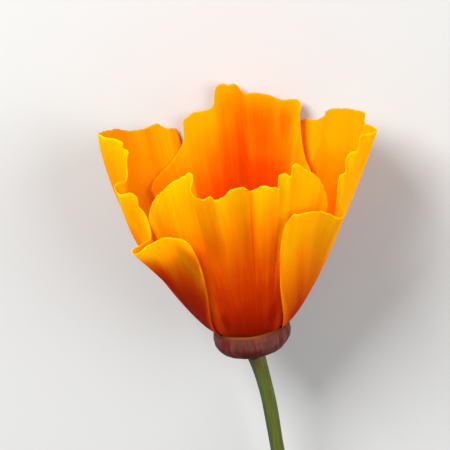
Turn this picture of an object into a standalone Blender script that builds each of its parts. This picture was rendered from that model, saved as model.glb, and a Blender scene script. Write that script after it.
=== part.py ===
"""A cut California poppy, laid on a flat surface.

Four petals stand on a thick collar at the top of a slender stem. Inside them are a crown of
stamens and a pistil. Everything is worked out in the flower's own frame, in millimetres: z runs
up the flower's axis from the collar, -y is the side that ends uppermost and x runs across. One
empty then lays the whole flower down, with its mouth towards +Y.
"""

import math
import random

import bmesh
import bpy
import numpy as np

MM = 0.001

PETAL_THICKNESS = 0.62
PETAL_ROWS = 15
RIM_STEP = 2.4
GAP = 0.3

COLLAR_RADIUS = 6.6
COLLAR_TOP = 0.9
COLLAR_BOTTOM = -4.7

STEM_RADIUS = 1.2
STEM_TOP_RADIUS = 1.45

STAMEN_COUNT = 20
STAMEN_RING_RADIUS = 3.3
STAMEN_LENGTH = 13.0
FILAMENT_RADIUS = 0.32
ANTHER_RADIUS = 0.6

OVARY_RADIUS = 1.15
OVARY_HEIGHT = 10.0
STIGMA_RADIUS = 0.34

# How the flower lies: the axis rises towards the mouth, and the flower is rolled a little.
AXIS_RISE = 5.7
ROLL = -1.3

# Each rim is drawn from one shoulder of the petal to the other as points of turn in degrees from
# the petal's middle, reach from the axis and height, in millimetres. A swell pushes the wall out
# round one place below the rim: its turn, half width, height, half height and amount.
FRONT_PETAL = {
    "facing": -90,
    "foot_half_turn": 74,
    "foot_height": 1.6,
    "inner": True,
    "swells": [],
    "rim": [
        (-60, 16.5, 23), (-53, 18, 27.5), (-46, 19, 30), (-34, 19.5, 34), (-27, 19, 35.5),
        (-22, 18.5, 35.5), (-19.5, 19, 36.5), (-18.5, 20, 35.5), (-19, 21, 33.5),
        (-17.5, 20.5, 32.5), (-11.5, 19.5, 32), (-6.5, 20, 32.5), (-3, 20.5, 34), (0, 20.5, 34),
        (7, 19, 32.5), (10, 19.5, 33), (14, 20.5, 33.5), (20, 20.5, 32.5), (21, 19, 34),
        (26.5, 20, 34.5), (27.5, 19.5, 36), (33, 19.5, 35), (42, 19.5, 32), (53, 18, 27.5),
        (59, 17, 24),
    ],
}
BACK_PETAL = {
    "facing": 90,
    "foot_half_turn": 74,
    "foot_height": 1.6,
    "inner": True,
    "swells": [],
    "rim": [
        (57, 17, 24), (44, 17.5, 25.5), (30, 18, 27.5), (25, 18.5, 30), (24, 18.5, 33),
        (18, 18.5, 34), (9, 18, 34.5), (5.5, 18, 35.5), (5, 18, 37.5), (2, 18.5, 38.5),
        (-5, 18.5, 38), (-10, 18, 36.5), (-16, 18.5, 36.5), (-26, 20, 34.5), (-32, 21, 34),
        (-36, 21.5, 34), (-37, 21, 33.5), (-38.5, 19.5, 30.5), (-42.5, 18, 27), (-51, 17, 24),
    ],
}
LEFT_PETAL = {
    "facing": 180,
    "foot_half_turn": 17,
    "foot_height": 1.6,
    "inner": False,
    "swells": [(30, 11, 22, 7, 0.9)],
    "rim": [
        (64, 16, 17.5), (65.5, 17, 21.5), (63, 18, 24), (58, 19, 25), (50, 19, 25), (43, 19, 23.5),
        (40.5, 20.5, 23), (39, 22, 23), (37.5, 20.5, 23), (36, 18.5, 23.5), (33, 18, 26.5),
        (31, 18.5, 28.5), (29, 18.5, 30), (23, 21, 31.5), (21, 19.5, 32), (18.5, 18.5, 34),
        (12.5, 19, 37), (7, 20.5, 38), (1.5, 21.5, 38.5), (-8, 21, 37.5), (-22, 20.5, 36),
        (-34, 20, 34.5), (-44, 20, 33.5), (-49, 20.5, 33), (-54, 20.5, 33), (-59, 20, 31.5),
        (-63, 20.5, 31.5), (-64.5, 20.5, 29), (-68, 20, 25.5), (-69, 18.5, 22.5),
    ],
}
RIGHT_PETAL = {
    "facing": 0,
    "foot_half_turn": 17,
    "foot_height": 1.6,
    "inner": False,
    "swells": [],
    "rim": [
        (-70, 15.5, 17), (-71.5, 17, 22), (-69, 18.5, 25), (-64.5, 20, 27.5), (-54.5, 20.5, 27),
        (-44, 20, 25.5), (-38, 20, 24), (-34, 20.5, 24), (-31.5, 21, 24), (-30, 20, 24.5),
        (-27.5, 18.5, 27.5), (-24.5, 19.5, 30), (-21, 20, 32.5), (-17.5, 21.5, 33),
        (-15, 21, 34.5), (-10, 22, 35), (-3, 24, 34.5), (3, 23.5, 34.5), (8, 23, 34),
        (11, 23.5, 35), (20, 23, 34.5), (36, 23, 33.5), (42, 22.5, 32.5), (44, 22.5, 31.5),
        (54, 22, 31), (60, 22, 30), (65, 21, 27), (68, 19, 22),
    ],
}
PETALS = {
    "petal_front": FRONT_PETAL,
    "petal_back": BACK_PETAL,
    "petal_left": LEFT_PETAL,
    "petal_right": RIGHT_PETAL,
}

# The stem's route down from the collar: across, towards the surface and along the axis.
STEM_ROUTE = [
    (0.4, 0, -5), (0.85, 0, -6.8), (1.3, 0.2, -9.2), (1.9, 0.5, -13.5), (2.7, 1.5, -24),
    (3.8, 3, -38), (5.2, 4.8, -54), (6.6, 6.2, -68), (8, 7.2, -82),
]

# The collar's side, from the flat top that carries the stamens, round its edge and in to the stem.
COLLAR_PROFILE = [
    (0, COLLAR_TOP), (4.3, COLLAR_TOP), (4.7, 1.1), (6.1, 1.1), (6.45, 0.7), (6.58, 0),
    (COLLAR_RADIUS, -1.0), (6.4, -1.9), (5.8, -2.6), (4.4, -3.1), (3.0, -3.5), (2.1, -4.0),
    (1.6, COLLAR_BOTTOM), (0, COLLAR_BOTTOM),
]


def clear_scene():
    for old in list(bpy.data.objects):
        bpy.data.objects.remove(old, do_unlink=True)


def new_collection(name):
    collection = bpy.data.collections.new(name)
    bpy.context.scene.collection.children.link(collection)
    return collection


def new_material(name, colour, roughness):
    material = bpy.data.materials.new(name)
    material.use_nodes = True
    surface = material.node_tree.nodes["Principled BSDF"]
    surface.inputs["Base Color"].default_value = (*colour, 1)
    surface.inputs["Roughness"].default_value = roughness
    surface.inputs["Metallic"].default_value = 0
    return material


def new_object(name, data, collection):
    made = bpy.data.objects.new(name, data)
    collection.objects.link(made)
    return made


def smooth_step(value):
    value = np.clip(value, 0, 1)
    return value * value * (3 - 2 * value)


def inner_cup(height):
    """Radius of the cup that the front and the back petal lie on."""
    return 5.1 + 1.25 * np.maximum(height - 1.4, 0) ** 0.72


def outer_cup(height):
    """Radius of the wider cup of the left and the right petal."""
    return 6.05 + 1.24 * np.maximum(height - 1.4, 0) ** 0.775


def rim_curve(rim):
    """The rim's points joined by smooth spans, about one column of the petal every RIM_STEP."""
    turn, reach, height = np.array(rim, float).T
    angle = np.radians(turn)
    points = np.stack([reach * np.cos(angle), reach * np.sin(angle), height], 1)
    lengths = np.linalg.norm(np.diff(points, axis=0), axis=1)
    knots = np.append(0, np.cumsum(np.sqrt(lengths)))
    slopes = np.gradient(points, knots, axis=0)
    curve = [points[:1]]
    for i, length in enumerate(lengths):
        count = math.ceil(length / RIM_STEP)
        f = (np.arange(1, count + 1) / count)[:, None]
        span = knots[i + 1] - knots[i]
        ends = points[i] * (1 + 2 * f) * (1 - f) ** 2 + points[i + 1] * f**2 * (3 - 2 * f)
        bends = slopes[i] * f * (1 - f) ** 2 - slopes[i + 1] * f**2 * (1 - f)
        curve.append(ends + span * bends)
    return np.concatenate(curve)


def petal_points(petal):
    """Grid of points, rows from the foot to the rim and a column for each point of the rim.

    Each column is a rib that fans out from the foot. It keeps to the cup low down and bends
    towards its own point of the rim higher up, so that the rim's waves fade into pleats.
    """
    rim = rim_curve(petal["rim"])
    along = np.append(0, np.cumsum(np.linalg.norm(np.diff(rim, axis=0), axis=1)))
    across = 1 - 2 * along / along[-1]
    rim_turn = np.degrees(np.arctan2(rim[:, 1], rim[:, 0]))
    rim_reach = np.hypot(rim[:, 0], rim[:, 1])
    rim_height = rim[:, 2]
    foot_turn = across * petal["foot_half_turn"] * np.sign(rim_turn[0])
    cup = inner_cup if petal["inner"] else outer_cup
    rise = (np.linspace(0, 1, PETAL_ROWS) ** 1.4)[:, None]
    height = petal["foot_height"] + (rim_height - petal["foot_height"]) * rise
    turn = foot_turn + (rim_turn - foot_turn) * (1 - (1 - rise) ** 3)
    reach = cup(height) + (rim_reach - cup(rim_height)) * rise**3
    if not petal["inner"]:
        # The side lobes of the outer petals lie on the inner petals.
        lobe = smooth_step((abs(turn) - 25) / 35)
        reach += lobe * (inner_cup(height) + 1.25 - outer_cup(height)) * (1 - rise**2)
    for middle, half_width, level, half_height, amount in petal["swells"]:
        fall = ((turn - middle) / half_width) ** 2 + ((height - level) / half_height) ** 2
        reach += amount * np.exp(-fall) * (1 - rise**6)
    angle = np.radians(turn + petal["facing"])
    return np.stack([reach * np.cos(angle), reach * np.sin(angle), height], 2) * MM


def add_petal(name, petal, material, collection):
    """A sheet shaped by formula, split into triangles and then thickened."""
    points = petal_points(petal)
    rows, columns = points.shape[:2]
    sheet = bmesh.new()
    bmesh.ops.create_grid(sheet, x_segments=columns - 1, y_segments=rows - 1, size=1)
    for vertex in sheet.verts:
        column = round((vertex.co.x + 1) / 2 * (columns - 1))
        row = round((vertex.co.y + 1) / 2 * (rows - 1))
        vertex.co = points[row, column]
    bmesh.ops.triangulate(sheet, faces=sheet.faces)
    mesh = bpy.data.meshes.new(name)
    sheet.to_mesh(mesh)
    sheet.free()
    mesh.materials.append(material)
    mesh.shade_smooth()
    made = new_object(name, mesh, collection)
    thickness = made.modifiers.new("thickness", "SOLIDIFY")
    thickness.thickness = PETAL_THICKNESS * MM
    thickness.offset = 0
    return made


def add_turned(name, profile, steps, collection):
    """A profile of (radius, height) turned about the axis."""
    mesh = bpy.data.meshes.new(name)
    edges = [(i, i + 1) for i in range(len(profile) - 1)]
    mesh.from_pydata([(radius * MM, 0, height * MM) for radius, height in profile], edges, [])
    made = new_object(name, mesh, collection)
    screw = made.modifiers.new("turn", "SCREW")
    screw.steps = steps
    screw.render_steps = steps
    screw.use_merge_vertices = True
    screw.merge_threshold = 0.00001
    return made


def add_tube(name, points, radii, resolution, collection):
    """A round tube along the points, with its own radius at each of them and closed ends."""
    curve = bpy.data.curves.new(name, "CURVE")
    curve.dimensions = "3D"
    curve.bevel_depth = MM
    curve.bevel_resolution = resolution
    curve.use_fill_caps = True
    spline = curve.splines.new("POLY")
    spline.points.add(len(points) - 1)
    for node, point, radius in zip(spline.points, points, radii):
        node.co = (*(value * MM for value in point), 1)
        node.radius = radius
    return new_object(name, curve, collection)


def as_mesh(source, collection):
    """The object as its modifiers and bevel leave it, with its caps welded, as a plain mesh."""
    graph = bpy.context.evaluated_depsgraph_get()
    graph.update()
    mesh = bpy.data.meshes.new_from_object(source.evaluated_get(graph))
    welded = bmesh.new()
    welded.from_mesh(mesh)
    bmesh.ops.remove_doubles(welded, verts=welded.verts, dist=0.000001)
    welded.to_mesh(mesh)
    welded.free()
    made = new_object(source.name + "_mesh", mesh, collection)
    made.matrix_world = source.matrix_world
    bpy.data.objects.remove(source, do_unlink=True)
    return made


def fuse(name, base, pieces, material, collection):
    """One body from the base and the collection of pieces that are rooted in it."""
    union = base.modifiers.new("union", "BOOLEAN")
    union.operation = "UNION"
    union.operand_type = "COLLECTION"
    union.collection = pieces
    union.solver = "EXACT"
    made = as_mesh(base, collection)
    for piece in list(pieces.objects):
        bpy.data.objects.remove(piece, do_unlink=True)
    bpy.data.collections.remove(pieces)
    made.name = name
    made.data.materials.clear()
    made.data.materials.append(material)
    made.data.shade_smooth()
    made.data.set_sharp_from_angle(angle=math.radians(50))
    return made


def add_stamens(material, collection):
    """Threads that carry long pollen sacs, rooted in one ring round the pistil."""
    pieces = new_collection("stamen pieces")
    ring_thickness = 0.5
    ring_height = COLLAR_TOP + GAP + ring_thickness
    bpy.ops.mesh.primitive_torus_add(
        major_segments=40,
        minor_segments=6,
        major_radius=STAMEN_RING_RADIUS * MM,
        minor_radius=ring_thickness * MM,
        location=(0, 0, ring_height * MM),
    )
    ring = bpy.context.object
    chance = random.Random(7)
    for i in range(STAMEN_COUNT):
        angle = math.tau * i / STAMEN_COUNT
        inner = i % 2
        length = STAMEN_LENGTH - 2.2 * inner + chance.uniform(-0.8, 0.8)
        lean = (3.6 - 1.6 * inner) + chance.uniform(-0.4, 0.4)
        points, radii = [], []
        for s in (0, 0.15, 0.35, 0.5, 0.58, 0.75, 0.9, 1):
            reach = STAMEN_RING_RADIUS + lean * s**1.5
            sway = angle + chance.uniform(-0.01, 0.01)
            points.append((reach * math.cos(sway), reach * math.sin(sway), ring_height + length * s))
            sac = 0 < s - 0.5 < 0.49
            radii.append(ANTHER_RADIUS if sac else FILAMENT_RADIUS)
        thread = add_tube(f"stamen_{i}", points, radii, 1, pieces)
        as_mesh(thread, pieces)
    ring.users_collection[0].objects.unlink(ring)
    collection.objects.link(ring)
    return fuse("stamens", ring, pieces, material, collection)


def add_pistil(material, collection):
    """A slender ovary with unequal threads for stigmas."""
    pieces = new_collection("stigma pieces")
    foot = COLLAR_TOP + GAP
    top = foot + OVARY_HEIGHT
    profile = [
        (0, top), (0.55, top - 0.1), (0.7, top - 1.5), (0.95, top - 4), (OVARY_RADIUS, top - 7),
        (1.05, foot + 0.8), (0.9, foot), (0, foot),
    ]
    ovary = as_mesh(add_turned("ovary", profile, 14, collection), collection)
    lengths = (8, 4.5, 7.5, 4)
    for i, length in enumerate(lengths):
        angle = math.tau * (i + 0.3) / len(lengths)
        points = []
        for s in (0, 0.2, 0.4, 0.6, 0.8, 1):
            reach = 0.15 + length * 0.45 * s**1.6
            points.append((reach * math.cos(angle), reach * math.sin(angle), top - 0.9 + length * s))
        radii = [STIGMA_RADIUS * (1 - 0.1 * s) for s in range(6)]
        as_mesh(add_tube(f"stigma_{i}", points, radii, 1, pieces), pieces)
    return fuse("pistil", ovary, pieces, material, collection)


def add_stem(material, collection):
    """A round stalk that widens a little under the collar and ends in a cut."""
    route = np.array(STEM_ROUTE, float)
    lengths = np.linalg.norm(np.diff(route, axis=0), axis=1)
    knots = np.append(0, np.cumsum(lengths))
    slopes = np.gradient(route, knots, axis=0)
    points = []
    for distance in np.linspace(0, knots[-1], 26):
        i = min(np.searchsorted(knots, distance, side="right") - 1, len(lengths) - 1)
        span = lengths[i]
        f = (distance - knots[i]) / span
        ends = route[i] * (1 + 2 * f) * (1 - f) ** 2 + route[i + 1] * f**2 * (3 - 2 * f)
        bends = slopes[i] * f * (1 - f) ** 2 - slopes[i + 1] * f**2 * (1 - f)
        points.append(ends + span * bends)
    widening = STEM_TOP_RADIUS - STEM_RADIUS
    radii = [STEM_RADIUS + widening * math.exp(-i / 1.5) for i in range(len(points))]
    stem = add_tube("stem", points, radii, 3, collection)
    stem.data.materials.append(material)
    return stem


def add_collar(material, collection):
    """The thick receptacle that the petals stand on."""
    collar = add_turned("receptacle", COLLAR_PROFILE, 44, collection)
    collar.data.materials.append(material)
    collar.modifiers["turn"].use_smooth_shade = True
    return collar


def lay_down(pieces, collection):
    """Parents the pieces to one empty that lays the flower on z = 0, centred on the origin."""
    pose = new_object("lying_pose", None, collection)
    pose.rotation_euler = (math.radians(AXIS_RISE - 90), math.radians(ROLL), 0)
    for piece in pieces:
        piece.parent = pose
    graph = bpy.context.evaluated_depsgraph_get()
    graph.update()
    corners = []
    for piece in pieces:
        shaped = piece.evaluated_get(graph)
        mesh = shaped.to_mesh()
        place = np.empty(len(mesh.vertices) * 3, np.float32)
        mesh.vertices.foreach_get("co", place)
        world = np.array(shaped.matrix_world)
        place = place.reshape(-1, 3) @ world[:3, :3].T + world[:3, 3]
        corners += [place.min(axis=0), place.max(axis=0)]
        shaped.to_mesh_clear()
    low = np.min(corners, axis=0)
    high = np.max(corners, axis=0)
    pose.location = (-(low[0] + high[0]) / 2, -(low[1] + high[1]) / 2, -low[2])


def main():
    clear_scene()
    flower = new_collection("poppy flower")
    petal_orange = new_material("petal_orange", (0.9, 0.3, 0.0), 0.5)
    collar_mauve = new_material("collar_mauve", (0.35, 0.12, 0.13), 0.55)
    stem_green = new_material("stem_green", (0.08, 0.12, 0.02), 0.5)
    pollen_orange = new_material("pollen_orange", (0.85, 0.35, 0.02), 0.7)
    pistil_green = new_material("pistil_green", (0.35, 0.4, 0.1), 0.6)
    pieces = [add_petal(name, petal, petal_orange, flower) for name, petal in PETALS.items()]
    pieces.append(add_collar(collar_mauve, flower))
    pieces.append(add_stem(stem_green, flower))
    pieces.append(add_stamens(pollen_orange, flower))
    pieces.append(add_pistil(pistil_green, flower))
    lay_down(pieces, flower)


main()
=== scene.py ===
import math
import random

import bpy
import numpy as np
from mathutils import Matrix, Vector


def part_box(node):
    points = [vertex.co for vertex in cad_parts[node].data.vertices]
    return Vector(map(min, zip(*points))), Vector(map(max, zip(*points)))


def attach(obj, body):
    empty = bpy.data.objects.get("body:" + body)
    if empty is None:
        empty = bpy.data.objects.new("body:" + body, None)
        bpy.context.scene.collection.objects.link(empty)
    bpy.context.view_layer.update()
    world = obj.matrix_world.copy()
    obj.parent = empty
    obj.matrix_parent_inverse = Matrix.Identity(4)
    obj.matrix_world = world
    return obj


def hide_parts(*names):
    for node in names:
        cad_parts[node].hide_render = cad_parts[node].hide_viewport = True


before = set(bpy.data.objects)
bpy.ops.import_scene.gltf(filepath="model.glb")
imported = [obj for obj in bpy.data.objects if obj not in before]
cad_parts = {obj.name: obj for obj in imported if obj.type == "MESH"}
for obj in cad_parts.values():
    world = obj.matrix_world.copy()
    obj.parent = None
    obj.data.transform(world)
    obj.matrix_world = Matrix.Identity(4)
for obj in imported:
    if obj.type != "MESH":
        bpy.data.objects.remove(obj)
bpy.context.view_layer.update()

# The flower's own frame is in millimetres: z runs up its axis from the collar, x runs across and
# -y is the side that lies uppermost. The lean and roll of the solids then lay it down.
lying = {"axisRise": 5.7, "roll": -1.3}
millimetre = 0.001


def turnAbout(axis, degrees):
    return np.array(Matrix.Rotation(math.radians(degrees), 3, axis))


layDown = turnAbout("Y", lying["roll"]) @ turnAbout("X", lying["axisRise"] - 90)


# Directions of the flower's frame, turned as the flower lies.
def laid(vectors):
    return vectors @ layDown.T


# Points of the flower's frame, in metres and on the solids' place.
def placed(points):
    return laid(points) * millimetre + flowerPlace


# Three times the square less twice the cube, held between 0 and 1.
def smoothStep(value):
    value = np.clip(value, 0, 1)
    return value * value * (3 - 2 * value)


# Each vector over its length.
def unit(vectors):
    return vectors / (np.linalg.norm(vectors, axis=-1, keepdims=True) + 1e-12)


# Evenly spaced angles, once round.
def ringAngles(count):
    return np.linspace(0, math.tau, count, endpoint=False)


# Rows of the values that go together, each spread over the same grid.
def together(*values):
    return np.stack(np.broadcast_arrays(*values), -1)


# Points of a reach, an angle and a height: x is the reach times the cosine, y times the sine.
def roundAxis(reach, angle, height):
    return together(reach * np.cos(angle), reach * np.sin(angle), height)


# Sum of sines round a ring, each with its amount, its count of waves and its phase.
def ringWaves(angle, waves):
    return sum(amount * np.sin(count * angle + phase) for amount, count, phase in waves)


# Meshes: every surface is a grid of points, rows by columns.

# Quads between neighbouring rows and columns; around joins the last column to the first.
def gridFaces(rows, columns, first=0, around=False):
    wide = columns if around else columns - 1
    row, column = np.meshgrid(np.arange(rows - 1), np.arange(wide), indexing="ij")
    here = first + row * columns + column
    beside = first + row * columns + (column + 1) % columns
    return np.stack([here, beside, beside + columns, here + columns], -1).reshape(-1, 4)


def addObject(name, data):
    made = bpy.data.objects.new(name, data)
    bpy.context.scene.collection.objects.link(made)
    return made


# A mesh object of points in the flower's frame. marks are attributes of three values a point.
def buildMesh(name, points, quads, triangles=None, marks=None):
    place = placed(points)
    faces = [quads] if triangles is None else [quads, triangles]
    corners = np.concatenate([part.reshape(-1) for part in faces]).astype(np.int32)
    sizes = np.concatenate([np.full(len(part), part.shape[1]) for part in faces])
    mesh = bpy.data.meshes.new(name)
    mesh.vertices.add(len(place))
    mesh.vertices.foreach_set("co", place.astype(np.float32).reshape(-1))
    mesh.loops.add(len(corners))
    mesh.loops.foreach_set("vertex_index", corners)
    mesh.polygons.add(len(sizes))
    starts = np.append(0, np.cumsum(sizes)[:-1]).astype(np.int32)
    mesh.polygons.foreach_set("loop_start", starts)
    mesh.update(calc_edges=True)
    mesh.validate()
    mesh.shade_smooth()
    for mark, values in (marks or {}).items():
        layer = mesh.attributes.new(mark, "FLOAT_VECTOR", "POINT")
        layer.data.foreach_set("vector", values.astype(np.float32).reshape(-1))
    return addObject(name, mesh)


curveReadings = 6000


# Hermite spans through the points, whose slopes come from each point's neighbours, read at evenly
# spaced lengths. The knots stand apart by the square roots of the distances between the points.
def smoothCurve(points, samples):
    points = np.array(points, float)
    steps = np.linalg.norm(np.diff(points, axis=0), axis=1)
    knots = np.append(0, np.cumsum(np.sqrt(steps)))
    slopes = np.gradient(points, knots, axis=0)
    fine = np.linspace(0, knots[-1], curveReadings)
    i = np.clip(np.searchsorted(knots, fine, side="right") - 1, 0, len(points) - 2)
    span = (knots[i + 1] - knots[i])[:, None]
    f = (fine - knots[i])[:, None] / span
    ends = points[i] * (1 + 2 * f) * (1 - f) ** 2 + points[i + 1] * f**2 * (3 - 2 * f)
    bends = slopes[i] * f * (1 - f) ** 2 - slopes[i + 1] * f**2 * (1 - f)
    curve = ends + span * bends
    along = np.append(0, np.cumsum(np.linalg.norm(np.diff(curve, axis=0), axis=1)))
    wanted = np.linspace(0, along[-1], samples)
    read = np.stack([np.interp(wanted, along, curve[:, axis]) for axis in range(3)], 1)
    return read, wanted


# Chance values between -1 and 1, a new one every spacing, joined by smooth steps.
def roughWave(length, spacing, seed):
    count = int(length.max() / spacing) + 3
    values = np.random.default_rng(seed).uniform(-1, 1, count)
    place = length / spacing
    i = np.floor(place).astype(int)
    return values[i] + (values[i + 1] - values[i]) * smoothStep(place - i)


# A rough wave plus a share of a finer one.
def twoWaves(length, waves, seed):
    spacing, fineSpacing, fineShare = waves
    return roughWave(length, spacing, seed) + fineShare * roughWave(length, fineSpacing, seed + 1)


# Petals.

# Each cup's reach at its bottom, its widening and the power of the height that it widens by.
cups = {"inner": (5.1, 1.25, 0.72), "outer": (6.05, 1.24, 0.775), "bottom": 1.4}

# What the petals share, in millimetres, degrees and shares of the rise. A pair of waves is a coarse
# spacing, a fine one and the fine one's share.
petalSheet = {
    "rows": 100, "columns": 360,
    "rowPower": 1.25,  # above 1 it crowds the rows towards the foot
    "footHeight": 0.9,
    "clawTop": 0.16,  # a narrowed foot has its whole width from here up
    "lobeStart": 25,  # an outer petal's sides leave the outer cup from this turn on
    "lobeGap": 1.1,  # and lie this far off the inner cup
    "lobeBlend": 35, "pleatBlend": 14,
    "calmMargin": 0.1,  # rim and ripples are even over this share of the width at each side
    "rimSway": 0.6, "rimSwaySpacing": 1.7,
    "rimCrinkle": (1.1, 0.45, 0.5),
    "ripple": 0.13, "rippleWaves": (3.1, 1.4, 0.5), "rippleStart": 0.2, "rippleBlend": 0.6,
    "meanReach": 20,  # turns count as lengths at this reach
    "calming": 5,  # turn that the rim is averaged over for the colours
    "thickness": 0.2, "rimThickness": 0.08,
    "thinning": 3,  # width of the border that thins
    "veinRelief": 0.02, "veinWaves": (0.9, 0.4, 0.7), "veinStart": 0.12, "veinFading": 0.6,
}

# The four petals. Turns are degrees round the axis from the way that the petal faces.
#   footHalfTurn is half the foot's turn, and claw is the share of it that is drawn in
#   fan is the power that the ribs turn to their places on the rim by
#   fray and streaks say how uneven the rim and the colour are
#   the lift is painted light added to the colour's level outside and inside, and the margin lift is
#   painted light along the side margins
#   patches, partly the petal's own stains and tone and partly painted light and painted shade, and
#   the spots of painted shade: middle and half width across, middle and half height in rise, amount
#   pleats: turn, half width before and after it, depth, height where it starts
#   rim: turn, reach from the axis and height of each point, from one shoulder to the other
#   swells: turn, half width, height, half height, amount
frontPetal = {
    "facing": -90, "inner": True, "seed": 3, "footHalfTurn": 80, "claw": 0, "fan": 3,
    "fray": 0.15, "streaks": 0.2, "paintedLightLift": (0, 0), "marginPaintedLight": 0,
    "patches": [(0.36, 0.07, 0.14, 0.05, -0.12), (-0.36, 0.07, 0.18, 0.07, -0.12),
                (0.54, 0.12, 0.28, 0.35, 0.2), (-0.54, 0.12, 0.33, 0.35, 0.26),
                (-0.05, 0.45, 0.5, 0.3, -0.06), (-0.5, 0.18, 0.84, 0.2, 0.2),
                (0.48, 0.12, 0.8, 0.2, 0.07), (-0.14, 0.06, 0.8, 0.2, 0.05),
                (-0.38, 0.07, 0.64, 0.28, 0.32)],
    "paintedShades": [(0.22, 0.09, 0.8, 0.25, 0.16), (-0.05, 0.05, 0.85, 0.25, 0.1),
               (0, 0.3, 0.6, 0.35, 0.08)],
    "pleats": [(-13.5, 8, 2.5, -0.8, 12), (7.3, 8, 1.8, -1, 10), (19.5, 6, 5, -0.2, 12)],
    "rim": [
        (-60, 16.5, 23), (-53, 18, 27.5), (-46, 18.8, 30.2), (-40, 19.2, 32.2), (-34, 19.4, 33.9),
        (-30, 19.1, 34.9), (-26.5, 19, 35.5), (-24.5, 19, 35.7), (-22.5, 19, 36.4),
        (-20.5, 19.4, 36.2), (-20, 20, 35.5), (-21, 20.4, 34.1), (-20.5, 20.5, 33.4),
        (-19.5, 20.4, 32.7), (-17, 19.9, 32.1), (-14.5, 19.6, 32.2), (-13, 19.5, 32.3),
        (-12, 19.2, 32), (-11.5, 19, 31.7), (-10.5, 19.4, 31.9), (-8, 20, 32.3),
        (-5.5, 20.4, 32.8), (-4, 20.6, 33.6), (-2, 20.6, 34), (1, 20.5, 33.9), (4, 20.1, 33.5),
        (5.5, 19.6, 32.8), (7.5, 19.1, 32.3), (9, 19.3, 32.9), (11.5, 19.9, 33.4),
        (14, 20.2, 33.6), (16, 20.3, 33.2), (18.5, 20.3, 32.9), (20, 20.2, 32.5),
        (20, 20.2, 33.2), (20, 20.1, 33.9), (21, 20, 34.7), (23.5, 20, 34.8), (26.5, 20, 34.3),
        (27.5, 19.9, 34.9), (28, 19.9, 35.7), (30, 19.7, 35.9), (33.5, 19.6, 35.2),
        (37, 19.6, 33.8), (41, 19.6, 32.8), (45, 19.5, 31.1), (49, 18.9, 29.2), (53.5, 18.2, 27),
        (59, 17, 24.2),
    ],
    "swells": [(-48, 16, 2.5, 5, 0.5), (50, 16, 3, 5, 0.4)],
}
backPetal = {
    "facing": 90, "inner": True, "seed": 5, "footHalfTurn": 80, "claw": 0, "fan": 3,
    "fray": 0.06, "streaks": 0.08, "paintedLightLift": (0, 0.08), "marginPaintedLight": 0.3,
    "patches": [(-0.1, 0.36, 0.55, 0.34, -0.2), (-0.3, 0.13, 0.88, 0.12, -0.1),
                (-0.43, 0.04, 0.89, 0.07, -0.12), (-0.58, 0.06, 0.82, 0.3, 0.12),
                (-0.15, 0.35, 1, 0.14, -0.1)],
    "paintedShades": [(-0.05, 0.35, 0.4, 0.25, 0.14), (-0.16, 0.2, 0.7, 0.3, 0.13)],
    "pleats": [(-7, 4, 2.5, 0.6, 14), (-11.5, 3, 6, -0.35, 16), (-33, 2.5, 4, 0.6, 18)],
    "rim": [
        (57, 16.9, 23.8), (51, 17.3, 25), (44, 17.5, 25.7), (36, 17.8, 26.4), (30, 18.1, 27.6),
        (25.5, 18.4, 29.4), (24.5, 18.5, 30.9), (24, 18.7, 32.5), (23, 18.7, 33.1),
        (21, 18.7, 33.3), (18, 18.5, 34), (14, 18.3, 34), (9.5, 18.1, 34.2), (7, 18, 34.8),
        (6, 18.1, 36.4), (5, 18.2, 37.6), (4, 18.1, 38.2), (1, 18.2, 38.4), (-2, 18.5, 38),
        (-4.5, 18.5, 38.1), (-6.5, 18.4, 37.9), (-8, 18.3, 37.2), (-10, 18.2, 36.6),
        (-15.5, 18.6, 36.4), (-20, 19.2, 35.9), (-24, 19.6, 35.3), (-28, 20, 34.5),
        (-31.5, 20.8, 34.3), (-34, 21.2, 34.2), (-35.5, 21.4, 33.9), (-36.5, 21.2, 33.6),
        (-37, 20.4, 32.6), (-38, 19.9, 31.3), (-40.5, 18.8, 28.6), (-42.5, 18.1, 27),
        (-46, 17.5, 25.2), (-51, 16.9, 23.9),
    ],
    "swells": [],
}
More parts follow.
